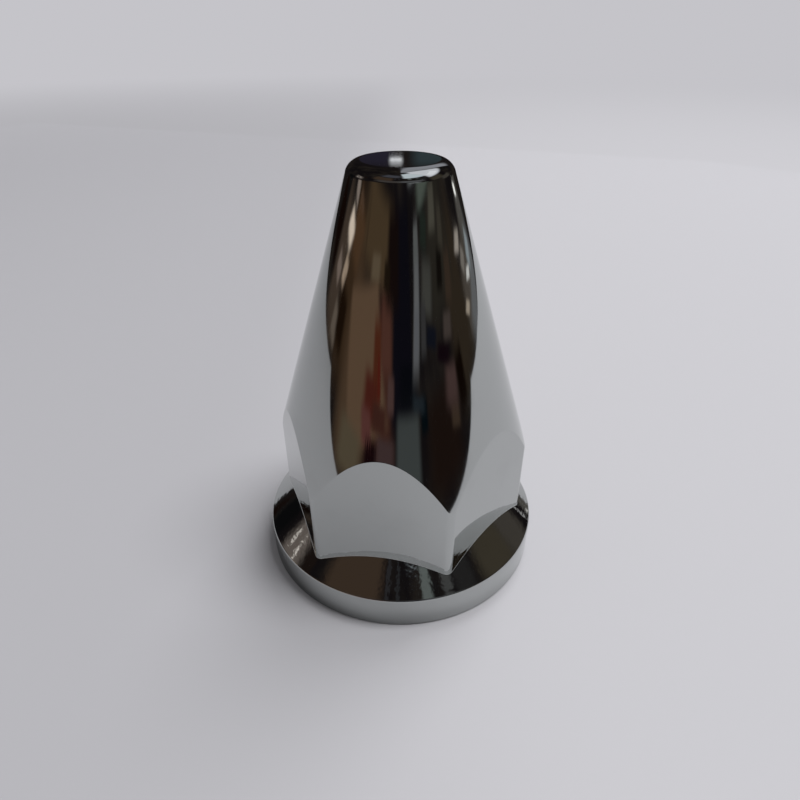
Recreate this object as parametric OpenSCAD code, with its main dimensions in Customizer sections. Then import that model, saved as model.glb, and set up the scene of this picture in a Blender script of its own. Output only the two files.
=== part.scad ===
// Push-on lug nut cover: one moulded, plated shell with a round flange, a six-sided
// skirt over the nut and a long cone trimming the skirt, closed by a rounded tip.
// Millimetres, +Z up. The origin is the centre of the flange's foot.
// The six corners of the skirt start on +X.

/* [Nut] */
// Size of the covered nut across its flats
nut_af = 33; // [27:0.5:36]
// Room between the nut and the flats of the socket, on each side
nut_clearance = 0.6; // [0.2:0.1:1.2]
// Diameter of the nut's round washer
washer_d = 44; // [42:0.5:52]
// Room between the washer and the flange's recess, on each side
washer_clearance = 0.2; // [0.1:0.05:1]

/* [Shell] */
// Thickness of every wall
wall = 1.8; // [1.2:0.1:2.4]
// Height of the whole cover
total_h = 66.5; // [55:0.1:90]
// Edge radius of the skirt's six upright corners
corner_r = 1.6; // [0.4:0.1:2.4]
// Smallest edge radius on the inside of the shell
inner_r = 0.4; // [0.2:0.1:0.8]

/* [Cone] */
// Diameter of the cone at the height of the tip
tip_d = 14.2; // [10:0.1:20]
// Angle between the cone's side and its axis
cone_angle = 17.5; // [14:0.1:20]
// Radius of the rounded shoulder around the tip
shoulder_r = 2.2; // [0.5:0.1:4]

/* [Flange] */
// Height of the flange's upright rim
rim_h = 5.6; // [4:0.1:8]
// Rise of the flange's sloping top, from level
slope_angle = 39; // [20:1:45]
// Edge radius between the rim and the sloping top
rim_edge_r = 0.5; // [0.2:0.1:1]
// Edge radius of the foot
foot_edge_r = 0.3; // [0.1:0.1:0.6]

/* [Grip ribs] */
// Number of ribs on each flat of the socket
ribs_per_flat = 2; // [1:1:3]
// Distance from rib to rib on one flat
rib_pitch = 9; // [4:0.5:10]
// Width of a rib
rib_w = 1; // [0.6:0.1:1.4]
// How far a rib bites past the nut's own flat
rib_bite = 0.05; // [0:0.01:0.15]

/* [Hidden] */
$fn = 96;

sides = 6;
// Angle from the middle of a flat to a corner
half_side = 180 / sides;
socket_af = nut_af + 2 * nut_clearance;
skirt_af = socket_af + 2 * wall;
recess_d = washer_d + 2 * washer_clearance;
flange_d = recess_d + 2 * wall;
// Drop of an inner sloping face below an outer one, a wall away from it
slope_drop = wall / cos(slope_angle);
recess_h = rim_h + wall * tan(slope_angle) - slope_drop;
// Radius at which the flange's slopes end, level with the socket's flats
crest_r = socket_af / 2;
// Length by which a cutting solid overruns the shape that it cuts
overrun = 2;
tall = total_h + 2 * overrun;
wide = 2 * flange_d;

// Height of a slope at its crest, from the height and diameter of its lower edge
function crest_z(edge_h, edge_d) = edge_h + (edge_d / 2 - crest_r) * tan(slope_angle);

function unit(v) = v / norm(v);

// Directions from the corner of an outline to its two neighbours
function ways(outline, i) = let (n = len(outline))
    [for (step = [-1, 1]) unit(outline[(i + step + n) % n] - outline[i])];

// Half of the inner angle at a corner of an outline
function half_angle(outline, i) = let (w = ways(outline, i)) acos(w[0] * w[1]) / 2;

// The two points where a round of radius r leaves the sides of a corner
function touch_points(outline, i, r) = let (run = r / tan(half_angle(outline, i)))
    [for (w = ways(outline, i)) outline[i] + w * run];

function round_centre(outline, i, r) = let (w = ways(outline, i))
    outline[i] + unit(w[0] + w[1]) * r / sin(half_angle(outline, i));

// A convex outline with a true arc at each corner that has a radius
module rounded(outline, radii) {
    polygon([for (i = [0:len(outline) - 1]) each
        radii[i] > 0 ? touch_points(outline, i, radii[i]) : [outline[i]]]);
    for (i = [0:len(outline) - 1])
        if (radii[i] > 0)
            translate(round_centre(outline, i, radii[i])) circle(r = radii[i]);
}

// An upright six-sided block with round upright edges, af across its flats
module hexagon_block(af, edge_r) {
    corner_reach = af / 2 / cos(half_side);
    translate([0, 0, -overrun]) linear_extrude(tall)
        rounded([for (i = [0:sides - 1]) corner_reach * [cos(2 * i * half_side), sin(2 * i * half_side)]],
                [for (i = [0:sides - 1]) edge_r]);
}

// The long cone with its rounded tip, thinned by inset
module cone_block(inset) {
    top = total_h - inset;
    top_r = tip_d / 2 - inset / cos(cone_angle) + inset * tan(cone_angle);
    foot_r = top_r + (top + overrun) * tan(cone_angle);
    edge_r = max(shoulder_r - inset, inner_r);
    rotate_extrude()
        rounded([[0, -overrun], [foot_r, -overrun], [top_r, top], [0, top]],
                [0, 0, edge_r, 0]);
}

// The skirt and its cone as one solid, thinned by inset all over
module body_block(inset) {
    intersection() {
        hexagon_block(skirt_af - 2 * inset, max(corner_r - inset, inner_r));
        cone_block(inset);
    }
}

// The round flange: an upright rim under a sloping top
module flange_block() {
    top = crest_z(rim_h, flange_d);
    rotate_extrude()
        rounded([[0, 0], [flange_d / 2, 0], [flange_d / 2, rim_h], [crest_r, top], [0, top]],
                [0, foot_edge_r, rim_edge_r, 0, 0]);
}

// The round recess over the washer, with a sloping roof a wall below the flange's top
module recess_block() {
    top = crest_z(recess_h, recess_d);
    rotate_extrude()
        polygon([[0, -overrun], [recess_d / 2, -overrun], [recess_d / 2, recess_h],
                 [crest_r, top], [0, top]]);
}

// Slim upright ribs on the socket's flats, which grip the nut
module grip_ribs() {
    tip_reach = nut_af / 2 - rib_bite;
    root_reach = (socket_af + wall) / 2;
    for (flat = [0:sides - 1], i = [0:ribs_per_flat - 1])
        rotate((2 * flat + 1) * half_side)
            translate([tip_reach + rib_w / 2, (i - (ribs_per_flat - 1) / 2) * rib_pitch, 0]) {
                cylinder(d = rib_w, h = total_h);
                translate([0, -rib_w / 2, 0])
                    cube([root_reach - tip_reach - rib_w / 2, rib_w, total_h]);
            }
}

module nut_cover() {
    color("gainsboro") {
        difference() {
            union() {
                flange_block();
                intersection() {
                    body_block(0);
                    translate([0, 0, total_h / 2]) cube([wide, wide, total_h], center = true);
                }
            }
            body_block(wall);
            recess_block();
        }
        // Ribs start at the crest of the recess and end inside the wall
        intersection() {
            grip_ribs();
            body_block(wall / 2);
            translate([-wide / 2, -wide / 2, crest_z(recess_h, recess_d)]) cube([wide, wide, tall]);
        }
    }
}

nut_cover();
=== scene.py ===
"""Dresses the lug nut cover: one bright plated shell on a plain pale table.

Lengths are metres and angles radians unless a name or a docstring says otherwise. The shell
stands at the origin with +Z up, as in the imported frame. Its width and height come from the
frame's box. Its other sizes are those of the solid's source, apart from joint_r, crown_edge_r
and mouth_edge_r, small rounds that the solid leaves sharp.
"""

import logging
import math
from collections.abc import Callable
from dataclasses import dataclass, field
from enum import Enum
from typing import Any

import bmesh
import bpy
from mathutils import Euler, Matrix, Vector


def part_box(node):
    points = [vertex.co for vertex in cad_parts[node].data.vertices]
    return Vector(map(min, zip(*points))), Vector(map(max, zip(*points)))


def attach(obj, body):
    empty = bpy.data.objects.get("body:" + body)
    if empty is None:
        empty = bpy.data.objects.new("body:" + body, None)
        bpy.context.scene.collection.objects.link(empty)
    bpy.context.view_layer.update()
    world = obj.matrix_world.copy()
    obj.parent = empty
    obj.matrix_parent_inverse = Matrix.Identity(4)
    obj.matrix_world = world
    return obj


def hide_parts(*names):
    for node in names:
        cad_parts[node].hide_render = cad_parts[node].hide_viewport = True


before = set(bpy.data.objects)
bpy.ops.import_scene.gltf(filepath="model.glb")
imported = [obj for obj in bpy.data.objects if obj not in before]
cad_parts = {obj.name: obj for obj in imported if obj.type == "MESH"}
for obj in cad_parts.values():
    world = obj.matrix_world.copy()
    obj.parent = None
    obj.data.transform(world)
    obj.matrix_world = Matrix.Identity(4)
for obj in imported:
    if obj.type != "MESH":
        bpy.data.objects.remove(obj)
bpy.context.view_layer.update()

log = logging.getLogger("lug_nut_cover")

MM = 0.001
NODE = "nut_cover"
BODY = "root"

# Mesh layers: the shell's smooth directions, and the cards' colours with their softness
FACING = "facing"
CARD_COLOUR = "card_colour"

# Share of a card's light that the plating gives back
MIRRORED = 0.50

Colour = tuple[float, float, float]
Span = tuple[float, float]


class Wall(Enum):
    """Which side of the shell a face belongs to. The value is its material's index."""

    OUTSIDE = 0
    INSIDE = 1


class Seen(Enum):
    """Which rays meet a stage piece."""

    DIRECTLY = "directly"
    IN_REFLECTIONS = "in reflections"


# ---------------------------------------------------------------- shader maths


class Value:
    """A socket of a shader tree, with arithmetic that adds Math nodes."""

    def __init__(self, shader: "Shader", socket: bpy.types.NodeSocket | None) -> None:
        """Wraps socket, which belongs to shader's tree."""
        self.shader = shader
        self.socket = socket

    def _math(self, operation: str, first: Any, second: Any) -> "Value":
        """One Math node.

        Args:
            operation: the node's operation.
            first: its first input, a number or a Value.
            second: its second input, a number or a Value.

        Returns:
            The node's output.
        """
        return self.shader.add("ShaderNodeMath", {"operation": operation}, {0: first, 1: second})

    def __add__(self, other: Any) -> "Value":
        """self + other."""
        return self._math("ADD", self, other)

    def __radd__(self, other: Any) -> "Value":
        """other + self."""
        return self._math("ADD", other, self)

    def __sub__(self, other: Any) -> "Value":
        """self - other."""
        return self._math("SUBTRACT", self, other)

    def __rsub__(self, other: Any) -> "Value":
        """other - self."""
        return self._math("SUBTRACT", other, self)

    def __mul__(self, other: Any) -> "Value":
        """self * other."""
        return self._math("MULTIPLY", self, other)

    def __rmul__(self, other: Any) -> "Value":
        """other * self."""
        return self._math("MULTIPLY", other, self)


class Shader:
    """A new material or world and its tree, with one method for every node."""

    def __init__(self, name: str, world: bool = False) -> None:
        """Makes an empty material or world.

        Args:
            name: what it is called.
            world: whether it is a world.
        """
        self.owner = (bpy.data.worlds if world else bpy.data.materials).new(name)
        self.owner.use_nodes = True
        self.tree = self.owner.node_tree
        self.tree.nodes.clear()

    def add(
        self,
        kind: str,
        settings: dict[str, Any] | None = None,
        sockets: dict[str | int, Any] | None = None,
        output: str | int = 0,
    ) -> Value:
        """Adds any node.

        Args:
            kind: the node's type.
            settings: attributes of the node, set before its sockets.
            sockets: a number, colour or Value for each input, by name or index.
            output: the output that is wanted, by name or index.

        Returns:
            That output, or an empty Value from a node that has none.
        """
        node = self.tree.nodes.new(kind)
        for key, setting in (settings or {}).items():
            setattr(node, key, setting)
        for key, given in (sockets or {}).items():
            if isinstance(given, Value):
                self.tree.links.new(given.socket, node.inputs[key])
            else:
                node.inputs[key].default_value = given
        return Value(self, node.outputs[output] if node.outputs else None)

    def place(self, scale: float | tuple[float, float, float]) -> Value:
        """Scaled Object coordinates.

        Args:
            scale: a number, or one number for each axis.

        Returns:
            The coordinates times scale.
        """
        axes = (scale,) * 3 if isinstance(scale, (int, float)) else scale
        where = self.add("ShaderNodeTexCoord", output="Object")
        return self.add("ShaderNodeMapping", {"vector_type": "POINT"}, {"Vector": where, "Scale": axes})

    def noise(self, where: Value, detail: float = 2.0, roughness: float = 0.5) -> Value:
        """Cloudy noise, whose clouds are about one unit wide.

        Args:
            where: the coordinates that it is read at.
            detail: how many finer layers it has.
            roughness: how strong the finer layers are.

        Returns:
            The noise, from 0 to 1.
        """
        return self.add(
            "ShaderNodeTexNoise",
            {"noise_dimensions": "3D"},
            {"Vector": where, "Scale": 1.0, "Detail": detail, "Roughness": roughness},
        )

    def stretch(
        self,
        value: Value,
        low: float,
        high: float | Value,
        to_low: float = 0.0,
        to_high: float = 1.0,
    ) -> Value:
        """Maps one range to another, smoothly and clamped.

        Args:
            value: what is mapped.
            low: the value that becomes to_low.
            high: the value that becomes to_high.
            to_low: the result at low and beyond it.
            to_high: the result at high and beyond it.

        Returns:
            The mapped value.
        """
        return self.add(
            "ShaderNodeMapRange",
            {"interpolation_type": "SMOOTHSTEP"},
            {0: value, 1: low, 2: high, 3: to_low, 4: to_high},
        )

    def mix(self, factor: Value, first: Colour, second: Colour) -> Value:
        """Mixes two colours.

        Args:
            factor: 0 for first, 1 for second.
            first: one colour.
            second: the other colour.

        Returns:
            The colour between them.
        """
        return self.add(
            "ShaderNodeMix",
            {"data_type": "RGBA"},
            {0: factor, 6: (*first, 1.0), 7: (*second, 1.0)},
            output=2,
        )

    def bump(self, height: Value, depth: float, normal: Value | None = None) -> Value:
        """Makes a surface uneven.

        Args:
            height: how high the surface stands, as a share of depth.
            depth: how far a height of 1 stands proud.
            normal: an uneven surface's normal to start from.

        Returns:
            The normal.
        """
        sockets: dict[str | int, Any] = {"Height": height, "Distance": depth, "Strength": 1.0}
        if normal is not None:
            sockets["Normal"] = normal
        return self.add("ShaderNodeBump", None, sockets)

    def finish(self, surface: Value) -> bpy.types.Material:
        """Links the surface to the material's output. Its glow isn't sampled as a lamp's is.

        Args:
            surface: the shader that the surface shows.

        Returns:
            The material.
        """
        self.add("ShaderNodeOutputMaterial", None, {"Surface": surface})
        self.owner.cycles.emission_sampling = "NONE"
        return self.owner


# ---------------------------------------------------------------- finishes


@dataclass(frozen=True)
class BrightPlating:
    """Bright chrome plate on a moulded outside."""

    colour: Colour = (0.481, 0.498, 0.488)
    handled_colour: Colour = (0.459, 0.475, 0.465)
    # Roughness where it is clean and where it is dulled
    polish: float = 0.042
    haze: float = 0.08
    # Clouds dulled by handling: their width, and the noise at which one starts and is full
    cloud_size: float = 11 * MM
    handled_span: Span = (0.45, 0.75)
    ripple_size: float = 7 * MM
    ripple_depth: float = 0.0012 * MM
    # Fine upright lines: their width, and their width as a share of their length
    hairline_size: float = 0.35 * MM
    hairline_slimness: float = 0.04
    hairline_depth: float = 0.00006 * MM
    # Grain on the flange's slope, and the heights between which it sets in and dies away
    slope_start: Span = (5.8 * MM, 6.3 * MM)
    slope_end: Span = (9.6 * MM, 10.6 * MM)
    slope_grain_size: float = 0.8 * MM
    slope_grain_depth: float = 0.011 * MM

    def material(self) -> bpy.types.Material:
        """Builds the outside's finish.

        Returns:
            The material.
        """
        shader = Shader("bright_plating")
        cloud = shader.noise(shader.place(1 / self.cloud_size), detail=4.0, roughness=0.6)
        handled = shader.stretch(cloud, *self.handled_span)
        ripple = shader.noise(shader.place(1 / self.ripple_size), detail=1.0)
        across, along = 1 / self.hairline_size, self.hairline_slimness / self.hairline_size
        hairlines = shader.noise(shader.place((across, across, along)))
        normal = shader.bump(ripple, self.ripple_depth)
        normal = shader.bump(hairlines, self.hairline_depth, normal)
        up = shader.add("ShaderNodeSeparateXYZ", None, {0: shader.place(1.0)}, output="Z")
        on_slope = shader.stretch(up, *self.slope_start) * shader.stretch(up, *self.slope_end, 1.0, 0.0)
        grain = shader.noise(shader.place(1 / self.slope_grain_size), detail=1.0)
        normal = shader.bump(grain * on_slope, self.slope_grain_depth, normal)
        surface = shader.add(
            "ShaderNodeBsdfPrincipled",
            None,
            {
                "Base Color": shader.mix(handled, self.colour, self.handled_colour),
                "Metallic": 1.0,
                "Roughness": self.polish + handled * (self.haze - self.polish),
                "Normal": normal,
            },
        )
        return shader.finish(surface)


@dataclass(frozen=True)
class ThinPlating:
    """Thin, duller plate on the inside, where the bath reaches less well."""

    colour: Colour = (0.40, 0.40, 0.395)
    bare_colour: Colour = (0.25, 0.25, 0.245)
    # Roughness where it is plated and where it is nearly bare
    smooth: float = 0.22
    rough: float = 0.42
    # How metallic it is in the same two places
    plated: float = 0.8
    bare: float = 0.35
    # Bare patches: their width, and the noise at which one starts and is full
    patch_size: float = 6 * MM
    patch_span: Span = (0.35, 0.7)
    grain_size: float = 0.4 * MM
    grain_depth: float = 0.006 * MM

    def material(self) -> bpy.types.Material:
        """Builds the inside's finish.

        Returns:
            The material.
        """
        shader = Shader("thin_plating")
        patches = shader.noise(shader.place(1 / self.patch_size), detail=3.0, roughness=0.6)
        patch = shader.stretch(patches, *self.patch_span)
        grain = shader.noise(shader.place(1 / self.grain_size))
        surface = shader.add(
            "ShaderNodeBsdfPrincipled",
            None,
            {
                "Base Color": shader.mix(patch, self.colour, self.bare_colour),
                "Metallic": self.plated + patch * (self.bare - self.plated),
                "Roughness": self.smooth + patch * (self.rough - self.smooth),
                "Normal": shader.bump(grain, self.grain_depth),
            },
        )
        return shader.finish(surface)


@dataclass(frozen=True)
class TableTop:
    """Plain pale laminate, with painted shade that makes it a little darker to the left.

    With a contact shade below 1 it has a painted contact shadow, darker at the cover's foot.
    With a backdrop, a colour, it fades into that colour far away.
    """

    # Turn of the camera's right from +X
    turn: float
    painted_shade_colour: Colour = (0.478, 0.474, 0.502)
    right_colour: Colour = (0.585, 0.580, 0.611)
    # Where the painted shade of the left colour ends and where the right colour starts, along the camera's
    # right
    painted_shade_span: Span = (-0.05, 0.03)
    roughness: float = 0.6
    specular: float = 0.25
    # Painted contact shadow: its tone at the foot, and the stretches over which it goes plain: outwards,
    # and to the right
    contact_shade: float = 1.0
    contact_shade_span: Span = (24.3 * MM, 27.5 * MM)
    contact_shade_side: Span = (0.0, 14 * MM)
    backdrop: Colour | None = None
    fade_span: Span = (0.3, 1.1)

    def material(self, name: str) -> bpy.types.Material:
        """Builds the laminate.

        Args:
            name: the material's name.

        Returns:
            The material.
        """
        shader = Shader(name)
        where = shader.add("ShaderNodeTexCoord", output="Object")
        turned = shader.add(
            "ShaderNodeMapping", {"vector_type": "POINT"}, {"Vector": where, "Rotation": (0, 0, -self.turn)}
        )
        across = shader.add("ShaderNodeSeparateXYZ", None, {0: turned})
        # Painted shade: the laminate's colour goes darker towards the camera's left
        colour = shader.mix(shader.stretch(across, *self.painted_shade_span), self.painted_shade_colour, self.right_colour)
        from_axis = shader.add("ShaderNodeVectorMath", {"operation": "LENGTH"}, {0: where}, output="Value")
        # Painted contact shadow: darker near the cover's foot, mostly on its left
        if self.contact_shade < 1:
            near = shader.stretch(from_axis, *self.contact_shade_span, 1 - self.contact_shade, 0.0)
            left = shader.stretch(across, *self.contact_shade_side, 1.0, 0.0)
            tone = 1 - near * left
            colour = shader.add("ShaderNodeVectorMath", {"operation": "SCALE"}, {0: colour, "Scale": tone})
        surface = shader.add(
            "ShaderNodeBsdfPrincipled",
            None,
            {"Base Color": colour, "Roughness": self.roughness, "Specular IOR Level": self.specular},
        )
        if self.backdrop:
            far = shader.stretch(from_axis, *self.fade_span)
            glow = shader.add("ShaderNodeEmission", None, {"Color": (*self.backdrop, 1.0)})
            surface = shader.add("ShaderNodeMixShader", None, {0: far, 1: surface, 2: glow})
        return shader.finish(surface)


# ---------------------------------------------------------------- shell


@dataclass(frozen=True)
class Stop:
    """One point of a profile in an upright plane through the axis, and where the profile heads."""

    r: float
    z: float
    travel: Vector

    def at(self, angle: float) -> Vector:
        """The point in space, in the plane at angle."""
        return Vector((self.r * math.cos(angle), self.r * math.sin(angle), self.z))

    def travel_at(self, angle: float) -> Vector:
        """The direction of travel in space, in the plane at angle."""
        out, up = self.travel
        return Vector((out * math.cos(angle), out * math.sin(angle), up))


def fillet(corner: Vector, back: Vector, ahead: Vector, radius: float, steps: int) -> list[Stop]:
    """Rounds one corner of a profile.

    Args:
        corner: the sharp corner.
        back: unit direction from the corner to where the profile comes from.
        ahead: unit direction from the corner to where it goes.
        radius: radius of the round.
        steps: number of chords.

    Returns:
        steps + 1 stops along the arc, from the incoming side to the outgoing one.
    """
    half = back.angle(ahead) / 2
    centre = corner + (back + ahead).normalized() * (radius / math.sin(half))
    first = corner + back * (radius / math.tan(half)) - centre
    last = corner + ahead * (radius / math.tan(half)) - centre
    turn = first.angle_signed(last)
    stops = []
    for step in range(steps + 1):
        rotation = Matrix.Rotation(-turn * step / steps, 2)
        stops.append(Stop(*(centre + rotation @ first), rotation @ -back))
    return stops


def line(start: Stop, end: Stop, parts: int) -> list[Stop]:
    """Cuts a straight stretch of a profile into equal parts.

    Args:
        start: the stop where it begins.
        end: the stop where it ends.
        parts: number of parts.

    Returns:
        The stops between start and end.
    """
    reach = Vector((end.r - start.r, end.z - start.z))
    travel = reach.normalized()
    steps = (reach * part / parts for part in range(1, parts))
    return [Stop(start.r + step.x, start.z + step.y, travel) for step in steps]


def spaced(start: float, end: float, parts: int) -> list[float]:
    """Where each part begins when start to end is cut into equal parts."""
    return [start + (end - start) * part / parts for part in range(parts)]


@dataclass
class CoverShell:
    """The whole cover: flange, six-sided skirt, long cone and the hollow inside."""

    flange_r: float
    height: float
    wall: float = 1.8 * MM
    # Flange
    rim_h: float = 5.6 * MM
    slope: float = math.radians(39)
    rim_edge_r: float = 0.5 * MM
    foot_edge_r: float = 0.3 * MM
    # Skirt
    sides: int = 6
    skirt_half_af: float = 18.9 * MM
    corner_r: float = 1.6 * MM
    joint_r: float = 0.15 * MM
    crown_edge_r: float = 0.6 * MM
    # Cone
    tip_r: float = 7.1 * MM
    cone_angle: float = math.radians(17.5)
    shoulder_r: float = 2.2 * MM
    # Hollow
    inner_r: float = 0.4 * MM
    mouth_edge_r: float = 0.3 * MM
    # Grip ribs in the socket: from the axis to a rib's crest, and along the flat to its middle
    rib_reach: float = 16.45 * MM
    rib_offset: float = 4.5 * MM
    rib_w: float = 1.0 * MM
    # Chords of the rounds, parts of the straight stretches
    fine: int = 14
    coarse: int = 6
    long_parts: int = 14
    short_parts: int = 4
    # Columns from the middle of a flat to the rib, past it to the corner, and round the corner
    flat_columns: int = 10
    outer_columns: int = 9
    corner_columns: int = 8
    # Columns on a rib and just beside it, as shares of half of the angle that it fills
    rib_columns: tuple[float, ...] = (-0.995, -0.9, -0.7, -0.4, 0.0, 0.4, 0.7, 0.9, 0.995)
    beside_rib: float = 1.02
    columns: list[float] = field(init=False)

    def __post_init__(self) -> None:
        """Lays out the columns, dense at the ribs and where a corner turns."""
        turn = self.corner_start(self.skirt_half_af, self.corner_r)
        rib, spread, _ = self.rib_place()
        before, after = rib - self.beside_rib * spread, rib + self.beside_rib * spread
        half = spaced(0.0, before, self.flat_columns) + [before]
        half += [rib + share * spread for share in self.rib_columns]
        half += spaced(after, turn, self.outer_columns)
        half += spaced(turn, self.half_side, self.corner_columns)
        around = [-angle for angle in reversed(half[1:])] + half + [self.half_side]
        self.columns = [
            self.half_side * (2 * side + 1) + angle for side in range(self.sides) for angle in around
        ]

    @property
    def half_side(self) -> float:
        """Angle from the middle of a flat to a corner."""
        return math.pi / self.sides

    @property
    def recess_r(self) -> float:
        """Radius of the washer's recess."""
        return self.flange_r - self.wall

    @property
    def recess_h(self) -> float:
        """Height of the recess's upright wall."""
        return self.rim_h + self.wall * math.tan(self.slope) - self.wall / math.cos(self.slope)

    @property
    def socket_half_af(self) -> float:
        """Half of the socket's width across its flats."""
        return self.skirt_half_af - self.wall

    def corner_start(self, half_af: float, edge_r: float) -> float:
        """Angle from the middle of a flat to where the round of its corner starts."""
        return math.atan((half_af - edge_r) * math.tan(self.half_side) / half_af)

    def rib_place(self) -> tuple[float, float, float]:
        """Where a grip rib stands.

        Returns:
            The angle from the middle of a flat to the rib's middle, half of the angle that the
            rib fills, and the distance of its middle from the axis.
        """
        middle = self.rib_reach + self.rib_w / 2
        reach = math.hypot(middle, self.rib_offset)
        return math.atan2(self.rib_offset, middle), math.asin(self.rib_w / 2 / reach), reach

    def off_flat(self, angle: float) -> float:
        """Angle from angle to the middle of the nearest flat. A corner lies at 0."""
        return abs(angle % (2 * self.half_side) - self.half_side)

    def hexagon_r(self, angle: float, half_af: float, edge_r: float) -> float:
        """Distance from the axis to an upright six-sided wall with round corners.

        Args:
            angle: direction from the axis; a corner lies at 0.
            half_af: half of the hexagon's width across its flats.
            edge_r: radius of its corners.

        Returns:
            The distance in that direction.
        """
        off_flat = self.off_flat(angle)
        if off_flat <= self.corner_start(half_af, edge_r):
            return half_af / math.cos(off_flat)
        centre = (half_af - edge_r) / math.cos(self.half_side)
        off_corner = self.half_side - off_flat
        across = centre * math.sin(off_corner)
        return centre * math.cos(off_corner) + math.sqrt(edge_r**2 - across**2)

    def socket_r(self, angle: float) -> float:
        """Distance from the axis to the socket's wall, or to a rib that stands on it.

        Args:
            angle: direction from the axis; a corner lies at 0.

        Returns:
            The distance in that direction.
        """
        rib, spread, reach = self.rib_place()
        off_rib = abs(self.off_flat(angle) - rib)
        if off_rib >= spread:
            return self.hexagon_r(angle, self.socket_half_af, self.inner_r)
        across = reach * math.sin(off_rib)
        return reach * math.cos(off_rib) - math.sqrt((self.rib_w / 2) ** 2 - across**2)

    def cone_z(self, r: float, inset: float = 0.0) -> float:
        """Height at which the cone, thinned by inset, has radius r."""
        outer_r = r + inset / math.cos(self.cone_angle)
        return self.height - (outer_r - self.tip_r) / math.tan(self.cone_angle)

    def rise(
        self,
        edge_r: float,
        edge_h: float,
        wall_r: float,
        inset: float,
        edges: tuple[float, float, float, float],
    ) -> list[Stop]:
        """A profile from the rim's edge over the slope, up the skirt and the cone to the axis.

        Args:
            edge_r: radius of the upright rim.
            edge_h: height of the rim's sharp upper edge.
            wall_r: distance of the skirt's wall from the axis.
            inset: how far the cone and the tip lie inside the outer ones.
            edges: radii at the rim's edge, the slope's end, the skirt's end and the shoulder.

        Returns:
            The stops, the last of them close to the axis.
        """
        up, down, out = Vector((0, 1)), Vector((0, -1)), Vector((1, 0))
        inward = Vector((-math.cos(self.slope), math.sin(self.slope)))
        lean = Vector((-math.sin(self.cone_angle), math.cos(self.cone_angle)))
        crest = Vector((wall_r, edge_h + (edge_r - wall_r) * math.tan(self.slope)))
        crown = Vector((wall_r, self.cone_z(wall_r, inset)))
        tip_z = self.height - inset
        tip_r = self.tip_r - inset / math.cos(self.cone_angle) + inset * math.tan(self.cone_angle)
        rim_r, crest_r, crown_r, tip_edge_r = edges
        rim = fillet(Vector((edge_r, edge_h)), down, inward, rim_r, self.coarse)
        foot = fillet(crest, -inward, up, crest_r, self.coarse)
        head = fillet(crown, down, lean, crown_r, self.coarse)
        shoulder = fillet(Vector((tip_r, tip_z)), -lean, -out, tip_edge_r, self.fine)
        middle = Stop(0.0, tip_z, -out)
        stops = rim + line(rim[-1], foot[0], self.short_parts)
        stops += foot + line(foot[-1], head[0], self.short_parts)
        stops += head + line(head[-1], shoulder[0], self.long_parts)
        return stops + shoulder + line(shoulder[-1], middle, self.short_parts)

    def outer_profile(self, angle: float) -> list[Stop]:
        """The outside's profile from the foot to the axis.

        Args:
            angle: the plane that it is in.

        Returns:
            Its stops.
        """
        foot = Vector((self.flange_r, 0))
        start = fillet(foot, Vector((-1, 0)), Vector((0, 1)), self.foot_edge_r, self.coarse)
        wall_r = self.hexagon_r(angle, self.skirt_half_af, self.corner_r)
        edges = (self.rim_edge_r, self.joint_r, self.crown_edge_r, self.shoulder_r)
        return start + self.rise(self.flange_r, self.rim_h, wall_r, 0.0, edges)

    def inner_profile(self, angle: float) -> list[Stop]:
        """The hollow's profile from the foot to the axis.

        Args:
            angle: the plane that it is in.

        Returns:
            Its stops, as many as the outside's.
        """
        mouth = Vector((self.recess_r, 0))
        start = fillet(mouth, Vector((1, 0)), Vector((0, 1)), self.mouth_edge_r, self.coarse)
        edges = (self.inner_r, self.mouth_edge_r, self.inner_r, self.shoulder_r - self.wall)
        return start + self.rise(self.recess_r, self.recess_h, self.socket_r(angle), self.wall, edges)

    def facing(self, profile: Callable[[float], list[Stop]], angle: float) -> list[Vector]:
        """The outward direction at each stop of a smooth profile.

        Args:
            profile: gives the stops of the column at an angle.
            angle: the column's angle.

        Returns:
            One unit vector for each stop.
        """
        nudge = 1e-4
        before, after = profile(angle - nudge), profile(angle + nudge)
        around = [b.at(angle + nudge) - a.at(angle - nudge) for a, b in zip(before, after)]
        return [
            side.cross(stop.travel_at(angle)).normalized() for side, stop in zip(around, profile(angle))
        ]

    def _raise_wall(
        self,
        bm: bmesh.types.BMesh,
        ring: list[bmesh.types.BMVert],
        profile: Callable[[float], list[Stop]],
        side: Wall,
    ) -> None:
        """Extrudes a wall from the foot's ring, row by row, and closes it at the axis.

        Args:
            bm: the shell's mesh.
            ring: the foot's vertices, one for each column.
            profile: gives a column's stops from the foot to the axis.
            side: the side of the shell that the wall is.
        """
        facing = bm.verts.layers.float_vector[FACING]
        paths = [profile(angle) for angle in self.columns]
        looks = [self.facing(profile, angle) for angle in self.columns]
        for row in range(len(paths[0])):
            edges = [bm.edges.get(pair) for pair in zip(ring, ring[1:] + ring[:1])]
            made = bmesh.ops.extrude_edge_only(bm, edges=edges)["geom"]
            for face in (item for item in made if isinstance(item, bmesh.types.BMFace)):
                face.material_index = side.value
            fresh = {item for item in made if isinstance(item, bmesh.types.BMVert)}
            ring = [
                next(edge.other_vert(vert) for edge in vert.link_edges if edge.other_vert(vert) in fresh)
                for vert in ring
            ]
            for vert, path, look, angle in zip(ring, paths, looks, self.columns):
                vert.co = path[row].at(angle)
                if side is Wall.OUTSIDE:
                    vert[facing] = look[row]
        cap = bmesh.ops.contextual_create(bm, geom=ring)["faces"][0]
        cap.material_index = side.value
        bmesh.ops.poke(bm, faces=[cap])

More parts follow.
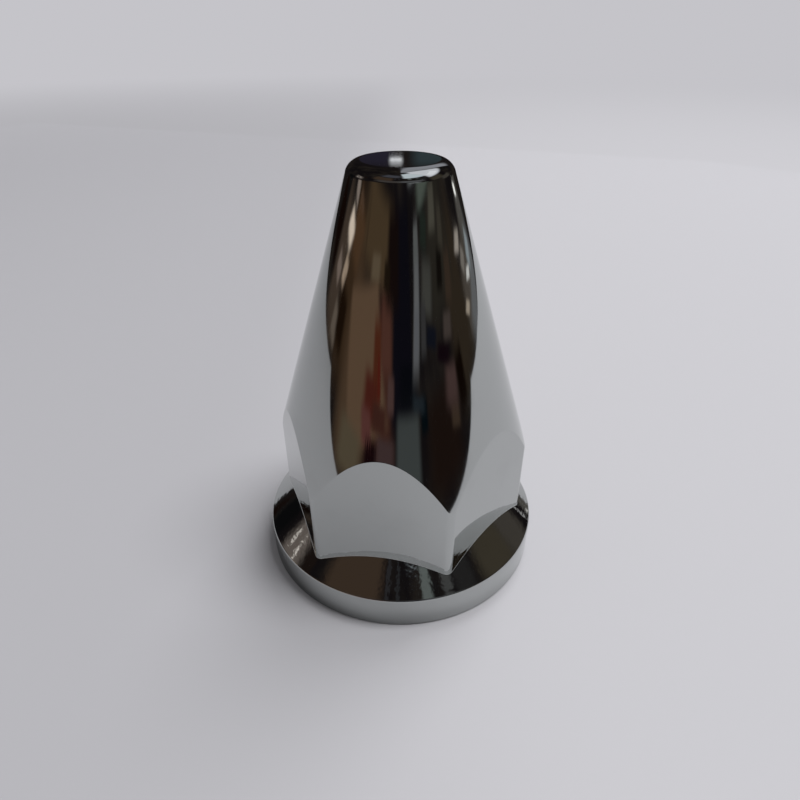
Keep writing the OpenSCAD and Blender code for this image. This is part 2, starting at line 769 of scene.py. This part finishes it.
    def build(self) -> bpy.types.Object:
        """Builds the shell as one closed mesh.

        Returns:
            The shell's object, at the origin.
        """
        bm = bmesh.new()
        bm.verts.layers.float_vector.new(FACING)
        middle = self.flange_r - self.wall / 2
        ring = bmesh.ops.create_circle(bm, segments=len(self.columns), radius=middle)["verts"]
        for vert, angle in zip(ring, self.columns):
            vert.co = (middle * math.cos(angle), middle * math.sin(angle), 0.0)
        self._raise_wall(bm, ring, self.outer_profile, Wall.OUTSIDE)
        self._raise_wall(bm, ring, self.inner_profile, Wall.INSIDE)
        bmesh.ops.recalc_face_normals(bm, faces=bm.faces)
        for face in bm.faces:
            face.smooth = True
        mesh = bpy.data.meshes.new("nut_cover_shell")
        bm.to_mesh(mesh)
        bm.free()
        # The inside's directions are zero, which leaves it the mesh's own normals
        looks = [item.vector.copy() for item in mesh.attributes[FACING].data]
        mesh.attributes.remove(mesh.attributes[FACING])
        mesh.normals_split_custom_set_from_vertices(looks)
        shell = bpy.data.objects.new("nut_cover_shell", mesh)
        bpy.context.collection.objects.link(shell)
        return shell

    def dress(self, shell: bpy.types.Object) -> None:
        """Gives the shell its plating, inside and out."""
        shell.data.materials.append(BrightPlating().material())
        shell.data.materials.append(ThinPlating().material())


# ---------------------------------------------------------------- stage


def linear(level: float) -> float:
    """Undoes the standard display curve, a short straight foot and then a power.

    Args:
        level: a display level, from 0 to 255.

    Returns:
        Its linear light, from 0 to 1.
    """
    top, foot_end, foot_slope, offset, power = 255, 0.04, 12.92, 0.055, 2.4
    share = level / top
    return share / foot_slope if share < foot_end else ((share + offset) / (1 + offset)) ** power


@dataclass(frozen=True)
class Card:
    """A soft-edged card or lamp of the room, seen only in the plating.

    azimuth is where it hangs, in degrees from the camera's side, positive to the camera's
    right, and elevation is how many degrees it hangs above the studio's eye_h. width and
    height are in degrees too. seen is the colour that it shows in the plating, in display
    levels, lean is how many degrees its top stands to the right of its foot, and a higher
    layer hangs in front of a lower one. soft is the share of its width and height that fades
    at each edge, and tilt is how many degrees its right end stands above its left one.
    """

    azimuth: float
    elevation: float
    width: float
    height: float
    seen: Colour
    lean: float = 0.0
    layer: int = 0
    soft: float = 0.3
    tilt: float = 0.0

    @property
    def glow(self) -> Colour:
        """The linear colour that the plating dims to seen."""
        return tuple(linear(level) / MIRRORED for level in self.seen)


ROOM_CARDS = (
    # Broad darks and browns of the room
    Card(-70, 6, 44, 26, (48, 35, 24)),
    Card(-38, 16, 70, 12, (62, 49, 35)),
    Card(-50, 1, 44, 27, (64, 49, 37), layer=1),
    Card(-21, 3, 36, 22, (56, 33, 27), layer=1),
    Card(-100, 2, 30, 18, (58, 48, 41)),
    Card(-121, 1, 28, 9, (15, 7, 5), layer=1),
    Card(60, 12, 60, 16, (34, 31, 27)),
    Card(78, 3, 44, 22, (40, 33, 26)),
    Card(42, -4, 46, 14, (23, 15, 12)),
    Card(104, -1, 36, 9, (66, 60, 55)),
    Card(125, 0, 28, 9, (70, 67, 64), layer=1),
    # The brown wall, its shelves and a red cloth
    Card(-40.5, 3.1, 42, 15, (81, 63, 49), lean=-21, layer=2, soft=0.12, tilt=6.5),
    Card(-21, -0.3, 20, 4, (52, 29, 24), layer=5),
    Card(-36, 13.2, 18, 3.6, (80, 68, 54), layer=3, tilt=1.5),
    Card(-48, -6, 30, 7, (72, 63, 50), layer=3),
    Card(-30, 1, 22, 7, (62, 26, 20), layer=3),
    Card(-33, -2, 14, 5, (76, 45, 42), lean=-4, layer=4),
    Card(-26, 5, 12, 11, (66, 32, 20), lean=-4, layer=3),
    Card(-23, 3.6, 4, 6, (69, 24, 17), lean=-3, layer=4),
    Card(-17, 8, 16, 10, (68, 42, 35), lean=-4, layer=3),
    Card(-10, 2.5, 9, 5, (66, 48, 46), layer=4),
    Card(-27, -4.5, 16, 5, (18, 6, 8), layer=4),
    Card(-14, -3.5, 22, 4.5, (56, 42, 42), layer=4),
    Card(-79, 1.5, 18, 8, (22, 13, 7), layer=3),
    Card(-72, 11, 26, 8, (66, 47, 32), lean=8, layer=1),
    # Windows on the left
    Card(-88.5, 8.2, 16, 4.3, (198, 181, 166), lean=7, layer=3),
    Card(-74, 12.6, 14, 4, (82, 65, 55), layer=1),
    Card(-86, 4.6, 9, 4.4, (146, 127, 111), lean=5, layer=3),
    Card(-99, 2, 12, 3.5, (104, 91, 84), lean=4, layer=2),
    Card(-88, -1, 14, 5, (84, 74, 66), lean=2, layer=2),
    Card(-89, 12, 13, 3.4, (120, 108, 101), layer=2),
    # On the camera's side: a navy dark, a grey post that leans and a low ledge
    Card(2, 10, 26, 26, (11, 10, 16), layer=2, soft=0.16),
    Card(-11, 15.5, 24, 13, (17, 10, 9), layer=3),
    Card(-19, 13.6, 12, 4, (24, 17, 11), layer=4),
    Card(8, 3.5, 24, 6, (7, 8, 12), layer=3),
    Card(7, -4, 25, 11, (54, 57, 57), layer=3, soft=0.18),
    Card(21, 11, 10, 18, (86, 86, 88), lean=12, layer=4),
    Card(19, 8, 7, 7, (80, 80, 84), lean=5, layer=5),
    Card(23, 0, 9, 5, (4, 10, 14), layer=5),
    Card(18, 1.3, 16, 2.2, (27, 33, 38), layer=6, tilt=-1),
    # Right: greens, purples and browns
    Card(36, 11.2, 18, 6.5, (56, 55, 52), lean=9, layer=2, tilt=-2.5),
    Card(24, 16.4, 9, 4.4, (78, 79, 79), lean=3, layer=5, soft=0.25),
    Card(38, 16.4, 14, 4, (28, 33, 29), lean=8, layer=3, tilt=-2),
    Card(28, 8, 9, 7, (46, 45, 46), lean=4, layer=3),
    Card(37, 6.4, 16, 2.6, (14, 16, 24), lean=4, layer=4, tilt=-2.2),
    Card(59, 4.6, 15, 3, (58, 50, 47), lean=5, layer=2, tilt=-2),
    Card(49.5, 3.3, 20, 2.2, (14, 6, 11), lean=4, layer=4, tilt=-3),
    Card(55, -0.6, 20, 5.4, (62, 47, 45), lean=5, layer=3, soft=0.35, tilt=-2.5),
    Card(55, -3.6, 12, 3, (52, 41, 33), lean=2, layer=3, tilt=-1.5),
    Card(67, -2, 14, 8, (12, 6, 4), layer=4),
    Card(46, 20, 40, 4, (70, 76, 70), layer=2),
    Card(30, 23.4, 38, 3.6, (122, 124, 126), layer=3),
    Card(58, 16, 18, 4.4, (66, 63, 56), lean=12, layer=3, tilt=-2),
    Card(69, 12.4, 12, 4, (50, 46, 40), lean=10, layer=3, tilt=-2),
    Card(58, 10.2, 12, 4.4, (14, 11, 9), lean=8, layer=3, tilt=-1.5),
    Card(70, 7.4, 14, 5, (48, 38, 31), lean=10, layer=3, tilt=-2),
    # Narrow windows on the right
    Card(116, -4.6, 50, 5, (86, 86, 88), layer=2),
    Card(99, 4.4, 13, 3.2, (140, 131, 124), lean=-14, layer=4),
    Card(95.5, -1.2, 8, 2.2, (142, 130, 118), lean=-8, layer=4),
    Card(104, 1.4, 12, 3, (104, 98, 93), lean=-6, layer=3),
    Card(110, -1.5, 7, 2.6, (182, 180, 178), lean=-12, layer=4),
    Card(125.3, 2.3, 8.5, 1.6, (236, 233, 230), layer=4, tilt=-2.3),
    Card(122, -2.4, 16, 3.4, (120, 126, 130), lean=-6, layer=3),
    # Above: what the flange's slope sees
    Card(-43, 46, 60, 22, (53, 42, 34), soft=0.2),
    Card(-13, 50, 5, 14, (36, 35, 37), layer=1),
    Card(-3, 50, 4, 14, (34, 34, 36), layer=1),
    Card(-120, 10.5, 22, 16, (9, 9, 10), layer=2),
    Card(-83, 32, 14, 10, (22, 16, 14)),
    Card(24, 50, 13, 14, (82, 86, 85), layer=2),
    Card(43, 47, 12, 8, (58, 58, 58), layer=2),
    Card(58, 43, 24, 16, (31, 30, 30), layer=1),
    Card(88, 30, 48, 26, (52, 47, 39)),
    Card(111, 17.5, 36, 18, (56, 52, 48), layer=1),
    Card(123.7, 6.5, 3.4, 1.6, (132, 130, 130), layer=4),
    Card(-97.5, 23.5, 27, 16, (88, 80, 76), layer=1),
    Card(-102.8, 21.8, 4, 1.2, (205, 197, 191), layer=3),
    Card(-95, 25.2, 4, 1.7, (212, 203, 197), layer=3),
    # Overhead: a long strip lamp as the shoulder sees it
    Card(48, 69, 90, 34, (172, 179, 185), layer=3, soft=0.14),
    Card(112, 61, 84, 46, (184, 184, 190), layer=4, soft=0.14),
    Card(108, 51, 60, 18, (204, 204, 209), layer=5),
    Card(166, 52, 30, 70, (122, 122, 128), layer=2, soft=0.14),
    Card(-30, 66, 90, 22, (58, 58, 64), layer=1),
    Card(-25, 32, 80, 15, (56, 52, 50), layer=1),
    Card(26, 32.5, 74, 14, (72, 72, 74), layer=2),
    # Behind the cover: teal and navy darks and one far lamp
    Card(177, 10.8, 5, 3, (38, 46, 49), layer=2),
    Card(-177.5, 10.8, 5, 3, (28, 26, 36), layer=2),
    Card(-179.6, 11.42, 1.6, 0.5, (228, 229, 234), layer=4),
)


@dataclass(frozen=True)
class Lamp:
    """A round soft lamp.

    azimuth is in degrees, as a card's, elevation in degrees above the table, and size is the
    lamp's width.
    """

    name: str
    azimuth: float
    elevation: float
    size: float
    watts: float


@dataclass(frozen=True)
class RoomAir:
    """The dark room: near black, with faint brown clouds."""

    dark: Colour = (0.010, 0.008, 0.009)
    cloud: Colour = (0.030, 0.024, 0.020)
    # The clouds' width, and the noise at which one starts and is full
    cloud_size: float = 0.9
    cloud_span: Span = (0.4, 0.75)

    def material(self) -> bpy.types.Material:
        """Builds the room's air.

        Returns:
            The material.
        """
        shader = Shader("dark_room")
        noise = shader.noise(shader.place(1 / self.cloud_size), detail=3.0, roughness=0.6)
        colour = shader.mix(shader.stretch(noise, *self.cloud_span), self.dark, self.cloud)
        return shader.finish(shader.add("ShaderNodeEmission", None, {"Color": colour}))


class SoftCards:
    """Cards that glow in their own colour and fade out towards their edges."""

    def material(self) -> bpy.types.Material:
        """Builds the cards' glow.

        Returns:
            The material.
        """
        shader = Shader("soft_cards")
        colour = shader.add("ShaderNodeAttribute", {"attribute_name": CARD_COLOUR}, output="Color")
        soft = shader.add("ShaderNodeAttribute", {"attribute_name": CARD_COLOUR}, output="Alpha")
        where = shader.add("ShaderNodeTexCoord", output="UV")
        axes = [shader.add("ShaderNodeSeparateXYZ", None, {0: where}, output=axis) for axis in (0, 1)]
        mask = 1.0
        for axis in axes:
            for inward in (axis, 1 - axis):
                mask = mask * shader.stretch(inward, 0.0, soft)
        glow = shader.add("ShaderNodeEmission", None, {"Color": colour})
        clear = shader.add("ShaderNodeBsdfTransparent")
        return shader.finish(shader.add("ShaderNodeMixShader", None, {0: mask, 1: clear, 2: glow}))


@dataclass
class Studio:
    """The table, the soft light, the dark room in the plating and the camera."""

    # Camera: its turn round the cover, its pitch down, and its place out from the axis and up
    camera_azimuth: float = math.radians(9.4)
    camera_pitch: float = 0.570
    camera_roll: float = 0.002
    camera_out: float = 85.9 * MM
    camera_up: float = 82.8 * MM
    lens_mm: float = 27.0
    sensor_mm: float = 36.0
    clip: Span = (5 * MM, 20.0)
    # Table and backdrop
    table_r: float = 5.0
    backdrop: Colour = (0.557, 0.552, 0.584)
    # The table's outline in the plating, along the camera's right and away from it
    mirrored_table: tuple[tuple[float, float], ...] = (
        (-0.62, -0.107),
        (0.49, -0.107),
        (0.455, 0.10),
        (0.36, 0.21),
        (0.205, 0.34),
        (-0.34, 0.52),
        (-0.60, 0.05),
    )
    # How far it lies above the table itself
    mirrored_h: float = 0.1 * MM
    # Room and cards: the lowest layer's distance, the gap between layers and the parts of a card
    room_r: float = 3.2
    card_r: float = 3.0
    card_gap: float = 0.04
    card_parts: tuple[int, int] = (8, 4)
    eye_h: float = 40 * MM
    # Light
    lamps: tuple[Lamp, ...] = (
        Lamp("key_lamp", 90, 68, 0.85, 23.2),
        Lamp("rear_lamp", 150, 60, 0.85, 13.7),
    )
    lamp_distance: float = 2.0
    fill: float = 0.24
    # Chords of the round table and of the ball
    steps: int = 96

    def _place(self, right: float, away: float, up: float) -> Vector:
        """A point given along the camera's right, away from it, and up."""
        return Matrix.Rotation(self.camera_azimuth, 3, "Z") @ Vector((right, away, up))

    def _toward(self, azimuth: float, elevation: float, distance: float) -> Vector:
        """A point at an azimuth from the camera's side and an elevation, seen from the origin.

        Args:
            azimuth: the turn from the camera's side towards its right.
            elevation: the angle above level.
            distance: how far away the point is.

        Returns:
            The point.
        """
        out, up = distance * math.cos(elevation), distance * math.sin(elevation)
        return self._place(out * math.sin(azimuth), -out * math.cos(azimuth), up)

    def _stage(self, name: str, bm: bmesh.types.BMesh, material: bpy.types.Material, seen: Seen) -> None:
        """Turns bm into a stage piece.

        Args:
            name: the piece's name.
            bm: its mesh, which is freed.
            material: its only material.
            seen: the rays that meet it.
        """
        mesh = bpy.data.meshes.new(name)
        bm.to_mesh(mesh)
        bm.free()
        piece = bpy.data.objects.new(name, mesh)
        piece.data.materials.append(material)
        bpy.context.collection.objects.link(piece)
        if seen is Seen.IN_REFLECTIONS:
            piece.visible_camera = False
            piece.visible_diffuse = False
            piece.visible_transmission = False
            piece.visible_volume_scatter = False
            piece.visible_shadow = False
        else:
            piece.visible_glossy = False
        log.info("%s: %d faces, seen %s", name, len(mesh.polygons), seen.value)

    def table(self) -> None:
        """A pale table, with painted shade to its left, that fades into the backdrop."""
        bm = bmesh.new()
        bmesh.ops.create_circle(bm, cap_ends=True, segments=self.steps, radius=self.table_r)
        table = TableTop(turn=self.camera_azimuth, backdrop=self.backdrop).material("pale_table")
        self._stage("pale_table", bm, table, Seen.DIRECTLY)

    def table_in_plating(self) -> None:
        """The table again, with the edges that the plating shows and a painted contact shadow at the
        cover's foot.
        """
        bm = bmesh.new()
        outline = [bm.verts.new(self._place(*corner, self.mirrored_h)) for corner in self.mirrored_table]
        bmesh.ops.contextual_create(bm, geom=outline)
        # Painted contact shadow at the foot, as the plating shows it
        table = TableTop(turn=self.camera_azimuth, contact_shade=0.6).material("table_in_plating")
        self._stage("table_in_plating", bm, table, Seen.IN_REFLECTIONS)

    def room(self) -> None:
        """The dark room, a ball round the cover."""
        bm = bmesh.new()
        bmesh.ops.create_uvsphere(bm, u_segments=self.steps, v_segments=self.steps // 2, radius=self.room_r)
        self._stage("dark_room", bm, RoomAir().material(), Seen.IN_REFLECTIONS)

    def cards(self) -> None:
        """Hangs the room's cards, each bent round the cover."""
        bm = bmesh.new()
        colours = bm.verts.layers.float_color.new(CARD_COLOUR)
        bm.loops.layers.uv.new()
        columns, rows = self.card_parts
        for card in ROOM_CARDS:
            colour = (*card.glow, card.soft)
            distance = self.card_r - card.layer * self.card_gap
            grid = bmesh.ops.create_grid(bm, x_segments=columns, y_segments=rows, size=0.5, calc_uvs=True)
            for vert in grid["verts"]:
                across, high, _ = vert.co
                azimuth = math.radians(card.azimuth + across * card.width + high * card.lean)
                elevation = math.radians(card.elevation + high * card.height + across * card.tilt)
                vert.co = self._toward(azimuth, elevation, distance)
                vert.co.z += self.eye_h
                vert[colours] = colour
        self._stage("room_cards", bm, SoftCards().material(), Seen.IN_REFLECTIONS)

    def surroundings(self) -> None:
        """A soft fill for the light, which looks like a pale backdrop."""
        shader = Shader("soft_fill", world=True)
        camera, glossy, transmission = (
            shader.add("ShaderNodeLightPath", output=output)
            for output in ("Is Camera Ray", "Is Glossy Ray", "Is Transmission Ray")
        )
        colour = shader.mix(camera + glossy + transmission, (self.fill,) * 3, self.backdrop)
        background = shader.add("ShaderNodeBackground", None, {"Color": colour})
        shader.add("ShaderNodeOutputWorld", None, {"Surface": background})
        bpy.context.scene.world = shader.owner

    def lights(self) -> None:
        """Two soft lamps above the cover."""
        for lamp in self.lamps:
            data = bpy.data.lights.new(lamp.name, "AREA")
            data.shape = "DISK"
            data.size = lamp.size
            data.energy = lamp.watts
            hung = bpy.data.objects.new(lamp.name, data)
            azimuth, elevation = math.radians(lamp.azimuth), math.radians(lamp.elevation)
            hung.location = self._toward(azimuth, elevation, self.lamp_distance)
            hung.rotation_euler = (-hung.location).to_track_quat("-Z", "Y").to_euler()
            hung.visible_glossy = False
            bpy.context.collection.objects.link(hung)
            log.info("%s: %.1f W", lamp.name, lamp.watts)

    def camera(self) -> None:
        """The camera, close in and looking down at the cover."""
        data = bpy.data.cameras.new("camera")
        data.lens = self.lens_mm
        data.sensor_width = self.sensor_mm
        data.clip_start, data.clip_end = self.clip
        camera = bpy.data.objects.new("camera", data)
        camera.location = self._place(0.0, -self.camera_out, self.camera_up)
        pitch = math.pi / 2 - self.camera_pitch
        camera.rotation_euler = Euler((pitch, self.camera_roll, self.camera_azimuth))
        bpy.context.collection.objects.link(camera)
        bpy.context.scene.camera = camera

    def build(self) -> None:
        """Builds the whole stage."""
        self.table()
        self.table_in_plating()
        self.room()
        self.cards()
        self.surroundings()
        self.lights()
        self.camera()


def main() -> None:
    """Builds the shell and the stage around it."""
    logging.basicConfig(level=logging.INFO, format="%(name)s: %(message)s")
    bpy.context.scene.view_settings.view_transform = "Standard"
    low, high = (Vector(corner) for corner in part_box(NODE))
    cover = CoverShell(flange_r=(high.x - low.x) / 2, height=high.z)
    shell = cover.build()
    cover.dress(shell)
    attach(shell, BODY)
    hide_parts(NODE)
    log.info("%s: %d faces", shell.name, len(shell.data.polygons))
    Studio().build()
    log.info("studio: %d cards in the room", len(ROOM_CARDS))


if __name__ == "__main__":
    main()
